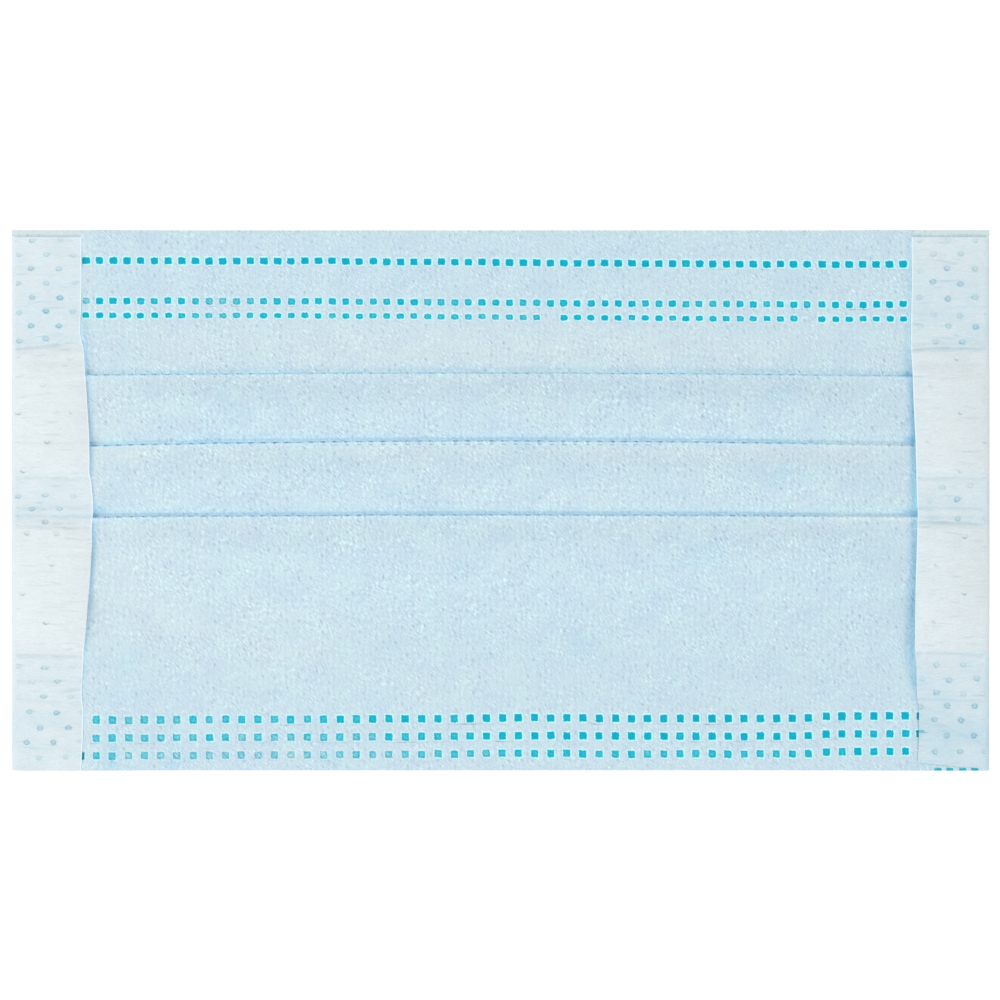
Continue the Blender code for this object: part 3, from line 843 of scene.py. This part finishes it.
def band_layer(word, side, counts, heights, offset, relief):
    """One face of a strip, offset from its middle: (points, y, place along its section, tint, dark)."""
    share = np.concatenate((np.linspace(1, 0, counts[0]), np.linspace(0, 1, counts[1] + 2)[1:-1],
                            np.linspace(0, 1, counts[2])))
    part = np.repeat(("front", "turn", "back"), counts)
    front, turned = part == "front", part == "turn"
    y = heights[:, None] + 0 * share
    widths = smoothed(BAND_ROWS, word, y)
    level, rise, tint = (smoothed(FLAP_ROWS, name, y) for name in ("level", "loft", word + "_tint"))
    flutter = 0.10 * MM * smooth_noise(y, 0.0, 5 * MM, MM, side.seed + 5, (side.seed, 0))
    angle = math.pi * (0.5 - share)
    flap_in = TURN_START + share * (widths - TURN_START)
    inward = np.where(turned, TURN_START - TURN_DEPTH * np.cos(angle), flap_in)
    front_z = level + flutter * share + rise * np.sin(0.94 * np.pi * share) ** 0.8
    turn_z = (level + STRIP / 2) / 2 + (level - STRIP / 2) / 2 * np.sin(angle)
    z = np.where(front, front_z, np.where(turned, turn_z, STRIP / 2))
    turn_along = -TURN_START + share * (TURN_CLOTH + 2 * TURN_START)
    along = np.where(front, -inward, np.where(turned, turn_along, inward + TURN_CLOTH))
    foot = read(side.feet, 1 - inward / widths) * MM
    y = y + (foot - BAND_FOOT) * ramp((BAND_TOP - y) / BAND_LENGTH, 0.94, 1.0)
    points = np.stack((HALF_WIDTH - inward, y, z), axis=-1)
    points = points + surface_normals(points) * offset
    dark = np.zeros_like(y)
    if relief:
        height, dark = flap_relief(side, at_height(BAND_ROWS, word, y), inward, y)
        points[..., 2] += height * front * np.clip(share / 0.04, 0, 1)
        dark = dark * front
        tint = tint * (0.85 + 0.3 * smooth_noise(inward, y, 4 * MM, 3 * MM, side.seed + 8))
    points[..., 0] *= side.sign
    return points, y, along, tint, dark


def build_band(word, side, material):
    skin = Skin("tint", "mark", "cut")
    layers = []
    for face, counts, rows in ((0, FRONT_GRID, FRONT_ROWS), (1, BACK_GRID, BACK_ROWS)):
        heights = np.linspace(BAND_TOP, BAND_FOOT, rows)
        offset = STRIP / 2 if face == 0 else -STRIP / 2
        points, y, along, tint, dark = band_layer(word, side, counts, heights, offset, relief=face == 0)
        # cut: the painted highlight along the strip's inner edge
        cut = np.zeros_like(y)
        cut[:, 0] = read(side.rims, heights / MM)
        cut[:, 1] = 0.55 * cut[:, 0]
        layers.append((skin.grid(points, along, y, face, tint=tint, mark=dark, cut=cut), along, y))
    (outer, outer_along, outer_y), (inner, inner_along, inner_y) = layers
    for end in (0, -1):
        skin.join(outer[end], outer_along[end], inner[end], inner_along[end])
        skin.join(outer[:, end], -outer_y[:, end], inner[:, end], -inner_y[:, end])
    return skin.build("side_band_%s_strip" % word, material)


# ---------------------------------------------------------------- materials
class Value:
    """A number, colour or vector that a material's nodes work out. Sums and products add nodes too."""

    def __init__(self, graph, socket):
        self.graph, self.socket = graph, socket

    def __add__(self, other):
        return self.graph.math("ADD", self, other)

    def __sub__(self, other):
        return self.graph.math("SUBTRACT", self, other)

    def __rsub__(self, other):
        return self.graph.math("SUBTRACT", other, self)

    def __mul__(self, other):
        return self.graph.math("MULTIPLY", self, other)

    __radd__, __rmul__ = __add__, __mul__

    def span(self, low, high, to_low=0.0, to_high=1.0):
        """This value's range from low to high stretched to another one, and held at its ends."""
        return self.graph.add("ShaderNodeMapRange", {0: self, 1: low, 2: high, 3: to_low, 4: to_high})

    def bell(self, width):
        """1 where this value is 0, and falling to 0 beyond about this width on both sides."""
        return self.graph.math("EXPONENT", self * self * (-1 / width ** 2))


def opaque(colour):
    return colour if isinstance(colour, Value) else (*colour, 1)


class Graph:
    """A material's node tree, with one call for each node."""

    def __init__(self, name):
        self.material = bpy.data.materials.new(name)
        self.material.use_nodes = True
        self.tree = self.material.node_tree
        self.shader = self.tree.nodes["Principled BSDF"]

    def feed(self, node, inputs):
        for place, value in inputs.items():
            if isinstance(value, Value):
                self.tree.links.new(value.socket, node.inputs[place])
            else:
                node.inputs[place].default_value = value

    def add(self, kind, inputs, output=0, **settings):
        node = self.tree.nodes.new(kind)
        for setting, value in settings.items():
            setattr(node, setting, value)
        self.feed(node, inputs)
        return Value(self, node.outputs[output])

    def math(self, operation, *values):
        return self.add("ShaderNodeMath", dict(enumerate(values)), operation=operation)

    def vector(self, operation, first, second):
        return self.add("ShaderNodeVectorMath", {0: first, 1: second}, operation=operation)

    def dot(self, vector, weights):
        return self.add("ShaderNodeVectorMath", {0: vector, 1: weights}, "Value", operation="DOT_PRODUCT")

    def attribute(self, name, output="Fac"):
        return self.add("ShaderNodeAttribute", {}, output, attribute_name=name)

    def colour(self, red, green, blue):
        return self.add("ShaderNodeCombineColor", {0: red, 1: green, 2: blue})

    def grey(self, value):
        return self.colour(value, value, value)

    def mix(self, factor, first, second, blend="MIX"):
        inputs = {0: factor, 6: opaque(first), 7: opaque(second)}
        return self.add("ShaderNodeMix", inputs, 2, data_type="RGBA", blend_type=blend)

    def times(self, colour, tint):
        return self.mix(1.0, colour, tint, "MULTIPLY")

    def tinted(self, colour, factor, tint):
        """The colour, taken by this factor towards itself times the tint."""
        return self.mix(factor, colour, self.times(colour, tint))

    def noise(self, place, size, detail=2.0, roughness=0.6):
        inputs = {"Vector": place, "Scale": 1 / size, "Detail": detail, "Roughness": roughness}
        return self.add("ShaderNodeTexNoise", inputs, noise_dimensions="3D")

    def streaks(self, cloth, angle, length, width, shift):
        """Fibres that run at this angle in degrees from +X, as noise drawn out along them."""
        sine, cosine = math.sin(math.radians(angle)), math.cos(math.radians(angle))
        along = self.dot(cloth, (cosine, sine, 0)) * (1 / length) + shift
        across = self.dot(cloth, (-sine, cosine, 0)) * (1 / width)
        place = self.add("ShaderNodeCombineXYZ", {0: along, 1: across, 2: shift})
        return self.noise(place, 1.0)

    def bump(self, height, strength):
        return self.add("ShaderNodeBump", {"Height": height, "Distance": BUMP_HEIGHT, "Strength": strength})


BOND_WIDE = 2.158 * MM  # the bond points' lattice, which has one more point at the middle of each cell
BOND_HIGH = 2.007 * MM
BOND_TILT = math.radians(18)
PRESS_PITCH = 2.15 * MM  # of the broken lines and dashes along the folds
BUMP_HEIGHT = 0.06 * MM
EDGE_SHADOW_WIDTH = 0.30  # mm, the width of the painted shadow line along the bands' inner edges and top, dark where a weld goes under a band

PANEL_COLOUR = (0.540, 0.690, 0.770)
PANEL_INSIDE = (0.78, 0.80, 0.81)
FILM_GREEN = 0.555  # what a solid weld leaves of the cloth's green and blue; it leaves almost no red
FILM_BLUE = 0.755
PALE_RIM = (0.542, 0.930, 0.985)  # cloth squeezed out round a weld
BAND_COLOUR = (0.704, 0.770, 0.792)
RIM_HIGHLIGHT_COLOUR = (0.80, 0.94, 1.0)  # the painted highlight along a band's inner edge


def bond_points(graph, cloth):
    """The calendered points all over the panel: (their dimples, the raised cloth beside them)."""
    lattice_a = graph.dot(cloth, (1 / BOND_WIDE, -1 / BOND_HIGH, 0))
    lattice_b = graph.dot(cloth, (0, 2 / BOND_HIGH, 0))
    place = graph.add("ShaderNodeCombineXYZ", {0: lattice_a, 1: lattice_b})
    cell, chance = (
        graph.add("ShaderNodeTexVoronoi", {"Vector": place, "Scale": 1.0, "Randomness": 0.22}, output,
                  voronoi_dimensions="2D") for output in ("Position", "Color"))
    offset = graph.vector("SUBTRACT", place, cell)
    sine, cosine = math.sin(BOND_TILT), math.cos(BOND_TILT)
    # offset is in lattice steps, where one of a is (BOND_WIDE, 0) and one of b (BOND_WIDE, BOND_HIGH) / 2
    across = graph.dot(offset, (cosine * BOND_WIDE / MM, (cosine * BOND_WIDE + sine * BOND_HIGH) / 2 / MM, 0))
    along = graph.dot(offset, (-sine * BOND_WIDE / MM, (-sine * BOND_WIDE + cosine * BOND_HIGH) / 2 / MM, 0))
    strength = graph.add("ShaderNodeSeparateColor", {0: chance}).span(0.45, 1.0, 0.15, 2.0)
    dimple = across.bell(0.18) * along.bell(0.30) * strength
    sides = (graph.math("ABSOLUTE", across) - 0.50).bell(0.22) * along.bell(0.42)
    return dimple, sides


def with_painted_fold_light_and_shade(graph, colour, flat):
    """Adds the painted light and shade along the folds: their shade painted paler and bluer, a painted
    highlight on their brows, and the broken painted dark shade line.
    """
    wave = graph.math("SINE", graph.dot(flat, (2 * math.pi / PRESS_PITCH, 0, 0)))
    crease = graph.attribute("crease") * wave.span(-0.6, 0.6, 0.72, 1.05)
    # painted light: the folds' shade made paler and bluer, and their brows lit
    colour = graph.tinted(colour, crease, (1.22, 1.52, 1.64))
    # painted dark shade line along each fold's brow and over the half-cut marks, broken at the press pitch
    broken = wave.span(-0.3, 0.8, 0.18, 1.0) * graph.noise(flat, 0.5 * MM).span(0.35, 0.65, 0.30, 1.50)
    return graph.tinted(colour, graph.attribute("line") * broken, (0.24, 0.40, 0.48)), wave


def beside_bands(graph, colour, flat, past):
    """Adds the painted shade beside the bands' inner edges, the painted light that pales and blues the cloth
    right at them, and the painted shade of the wedges.
    """
    reach = graph.math("ABSOLUTE", past) * graph.attribute("shade_rate")
    soft = graph.math("EXPONENT", graph.math("POWER", reach, 3.0) * -1.0)
    right = graph.dot(flat, (1, 0, 0)).span(-MM, MM)
    soft_blue = graph.mix(right, (0.72, 0.88, 0.94), (0.57, 0.79, 0.90))
    # painted soft shade beside the edge, then painted light right at it, then the painted shade of the wedges
    colour = graph.tinted(colour, soft * graph.attribute("shade_depth"), soft_blue)
    colour = graph.tinted(colour, past.bell(0.65) * graph.attribute("blue"), (1.07, 1.19, 1.32))
    colour = graph.tinted(colour, past.bell(0.27) * graph.attribute("lift"), (1.44, 1.38, 1.35))
    return graph.tinted(colour, graph.attribute("wedge"), (0.60, 0.84, 0.95))


def with_welds(graph, colour, flat):
    """Adds the blue squares, and also gives back how much blue film covers each place."""
    weld = graph.attribute("weld")  # 0 beside a square, 1 at its edge and 2 at its heart
    bond = graph.attribute("bond")
    halo = weld.span(0.04, 0.22) * bond.span(0.45, 0.9, 0.35, 1.0) * weld.span(1.0, 1.3, 1.0, 0.25)
    colour = graph.mix(halo, colour, PALE_RIM)
    scratches = graph.streaks(flat, -38, 1.0 * MM, 0.22 * MM, 21.0)
    worn = (graph.noise(flat, 0.28 * MM, 3.0, 0.7) + scratches) * 0.5
    weak = 1.10 - bond
    share = bond + weak * (worn.span(0.36, 0.62, -0.40, 0.62) - 0.30 * weld.span(1.05, 1.95))
    cover = (weld + graph.noise(flat, 0.42 * MM).span(0.25, 0.75, -0.26, 0.26)).span(0.54, 0.76)
    film = cover * graph.add("ShaderNodeClamp", {0: share})
    ring = film * weld.span(1.3, 1.9, 1.0, 0.0)
    red = graph.math("MAXIMUM", graph.math("POWER", 1.0 - film, 2.0), 0.018 * ring + 0.003)
    dye = graph.colour(red, 1.0 - (1 - FILM_GREEN) * film, 1.0 - (1 - FILM_BLUE) * film)
    colour = graph.times(colour, dye)
    colour = graph.tinted(colour, ring, (1.0, 0.81, 0.75))
    dull = (1.0 - bond) * weld.span(0.04, 0.5) * weld.span(1.05, 1.8, 1.0, 0.0)
    colour = graph.tinted(colour, dull, (1.36, 0.93, 0.90))
    mottle = graph.grey(graph.noise(flat, 0.24 * MM).span(0.3, 0.7, 0.80, 1.16))
    return graph.tinted(colour, film, mottle), film


def panel_material():
    graph = Graph("panel_cloth_nonwoven")
    cloth = graph.attribute("cloth", "Vector")
    flat = graph.vector("MULTIPLY", cloth, (1, 1, 0))
    dimple, sides = bond_points(graph, flat)
    fibre = graph.streaks(flat, -49, 1.05 * MM, 0.135 * MM, 3.0)
    fibres = fibre + graph.streaks(flat, -58, 0.70 * MM, 0.18 * MM, 11.0)  # about 1 on average
    cloud = graph.noise(flat, 5 * MM, 3.0)
    speck = graph.noise(flat, 0.21 * MM)
    patchy = graph.noise(flat, 6 * MM, roughness=0.5).span(0.35, 0.65, 0.60, 1.35)
    # painted shade in the bond points' dimples, partly their own duller look, and a painted highlight on the
    # raised cloth beside them
    tone = 0.045 * sides - 0.080 * dimple - 0.010
    tone += (fibres.span(0.65, 1.35, -0.205, 0.205) + 0.18 * fibre.span(0.585, 0.67)) * patchy
    tone += cloud.span(0.25, 0.75, -0.035, 0.035) + speck.span(0.2, 0.8, -0.155, 0.155)
    tone += graph.noise(flat, 0.19 * MM).span(0.60, 0.78, 0.012, -0.32)
    tone *= graph.attribute("grain")
    lilac = graph.noise(flat, 4 * MM, roughness=0.55).span(0.3, 0.7, -0.021, 0.021)
    green = graph.noise(flat, 5 * MM, roughness=0.55).span(0.3, 0.7, -0.014, 0.014)
    shade = graph.colour(1.40 * tone + 1.0 + lilac, 1.10 * tone + 1.0 + green, tone + 1.0 - green)
    colour = graph.times(PANEL_COLOUR, shade)

    stain = graph.attribute("stain") * cloud.span(0.3, 0.6, 1.3, 0.5)
    stained = graph.colour(graph.math("POWER", 0.86, stain), graph.math("POWER", 0.965, stain), 1.0)
    colour, wave = with_painted_fold_light_and_shade(graph, graph.times(colour, stained), flat)
    past = graph.attribute("past")
    colour = beside_bands(graph, colour, flat, past)
    colour = graph.tinted(colour, graph.attribute("dash") * wave.span(0.2, 0.8), (0.55, 0.64, 0.70))
    # paler patches and corners, with painted light: the highlight below the folds and the light against shade
    # at the pleats' right ends and beside the left band
    colour = graph.tinted(colour, graph.attribute("pale"), (1.14, 1.05, 0.98))
    hem = graph.dot(flat, (0, 1, 0)).span(47.3 * MM, 48.1 * MM)
    colour = graph.tinted(colour, hem, (1.0, 0.985, 0.945))
    colour, film = with_welds(graph, colour, flat)
    # painted shadow line along the bands' inner edges and over their top, dark on the welds and faint on the
    # cloth
    over = graph.dot(flat, (0, 1 / MM, 0)) - BAND_TOP / MM
    painted_edge_shadow = graph.math("MAXIMUM", past, over).bell(EDGE_SHADOW_WIDTH) * (0.88 * film + 0.12)
    colour = graph.tinted(colour, painted_edge_shadow, (0.66, 0.70, 0.74))

    inside = graph.math("GREATER_THAN", graph.dot(cloth, (0, 0, 1)), 0.5)
    lining = graph.times(PANEL_INSIDE, graph.grey(fibres.span(0.6, 1.4, 0.93, 1.04)))
    height = 0.35 * sides - dimple + 0.7 * fibres + 0.3 * speck
    graph.feed(graph.shader, {
        "Base Color": graph.mix(inside, colour, lining), "Roughness": film.span(0.0, 1.0, 0.82, 0.45),
        "Specular IOR Level": 0.05, "Normal": graph.bump(height, 0.8)})
    return graph.material


def band_material():
    graph = Graph("band_cloth_nonwoven")
    cloth = graph.attribute("cloth", "Vector")
    fibres = (graph.streaks(cloth, 8, 1.6 * MM, 0.16 * MM, 5.0)
              + graph.streaks(cloth, -24, 0.8 * MM, 0.14 * MM, 13.0))
    speck = graph.noise(cloth, 0.25 * MM)
    cloud = graph.noise(cloth, 3.5 * MM, 3.0)
    tone = (fibres.span(0.6, 1.4, 0.905, 1.095) + speck.span(0.2, 0.8, -0.05, 0.05)
            + cloud.span(0.25, 0.75, -0.03, 0.03))
    tint = graph.attribute("tint")
    colour = graph.tinted(graph.times(BAND_COLOUR, graph.grey(tone)), tint, (0.74, 0.89, 0.965))
    marked = graph.mix(tint.span(0.05, 0.45), (0.64, 0.71, 0.76), (0.38, 0.69, 0.79))
    # marks, creases and wrinkles: painted shade, and on the marks partly their own teal colour
    colour = graph.tinted(colour, graph.attribute("mark"), marked)
    # painted highlight along the band's inner edge
    colour = graph.mix(graph.attribute("cut").span(0.1, 0.9), colour, RIM_HIGHLIGHT_COLOUR)
    graph.feed(graph.shader, {
        "Base Color": colour, "Roughness": 0.8, "Sheen Weight": 0.08, "Sheen Roughness": 0.5,
        "Specular IOR Level": 0.3, "Normal": graph.bump(0.8 * fibres + 0.3 * speck, 0.7)})
    return graph.material


# ---------------------------------------------------------------- studio
FLOOR_HALF = 3.0
FLOOR_CORNERS = ((-1, -1), (1, -1), (1, 1), (-1, 1))
FLOOR_GREY = 0.30
FLOOR_GLOW = 0.82
SKY_STRENGTH = 0.70
LAMPS = (  # name, power, size and place. Each faces the mask.
    ("overhead_soft_box", 4.4, 0.8, (-0.60, 0.15, 0.90)),
    ("low_key", 6.6, 0.5, (0.30, -1.35, 1.05)),
)
CAMERA_LENS = 135.0  # mm
VIEW_WIDTH = 178.9 * MM  # what the picture takes in across the mask
VIEW_CENTRE = -0.12 * MM
MASK_PLANE = 1.5 * MM


def build_floor():
    mesh = bpy.data.meshes.new("floor")
    mesh.from_pydata([(x * FLOOR_HALF, y * FLOOR_HALF, 0) for x, y in FLOOR_CORNERS], [], [(0, 1, 2, 3)])
    graph = Graph("pale_table")
    graph.feed(graph.shader, {
        "Base Color": (FLOOR_GREY, FLOOR_GREY, FLOOR_GREY, 1), "Roughness": 0.9,
        "Emission Color": (1, 1, 1, 1), "Emission Strength": FLOOR_GLOW})
    mesh.materials.append(graph.material)
    add_object("floor", mesh)


def add_light(name, power, size, location):
    light = bpy.data.lights.new(name, "AREA")
    light.energy, light.size = power, size
    lamp = add_object(name, light)
    lamp.location = location
    lamp.rotation_euler = (-Vector(location)).to_track_quat("-Z", "Y").to_euler()


def build_studio():
    scene = bpy.context.scene
    scene.view_settings.view_transform = "Standard"
    scene.world = bpy.data.worlds.new("studio")
    scene.world.use_nodes = True
    sky = scene.world.node_tree.nodes["Background"]
    sky.inputs["Color"].default_value = (1, 1, 1, 1)
    sky.inputs["Strength"].default_value = SKY_STRENGTH
    for lamp in LAMPS:
        add_light(*lamp)
    camera = bpy.data.cameras.new("camera")
    camera.lens = CAMERA_LENS
    viewer = add_object("camera", camera)
    distance = VIEW_WIDTH * CAMERA_LENS / camera.sensor_width
    viewer.location = (VIEW_CENTRE, 0, MASK_PLANE + distance)
    scene.camera = viewer


def main():
    build_floor()
    build_studio()
    panel_cloth, band_cloth = panel_material(), band_material()
    panel = build_panel(panel_cloth)
    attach(panel, "root")
    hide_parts("pleated_panel")
    for word, side in SIDES.items():
        band = build_band(word, side, band_cloth)
        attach(band, "root")
        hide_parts("side_band_%s" % word)


main()
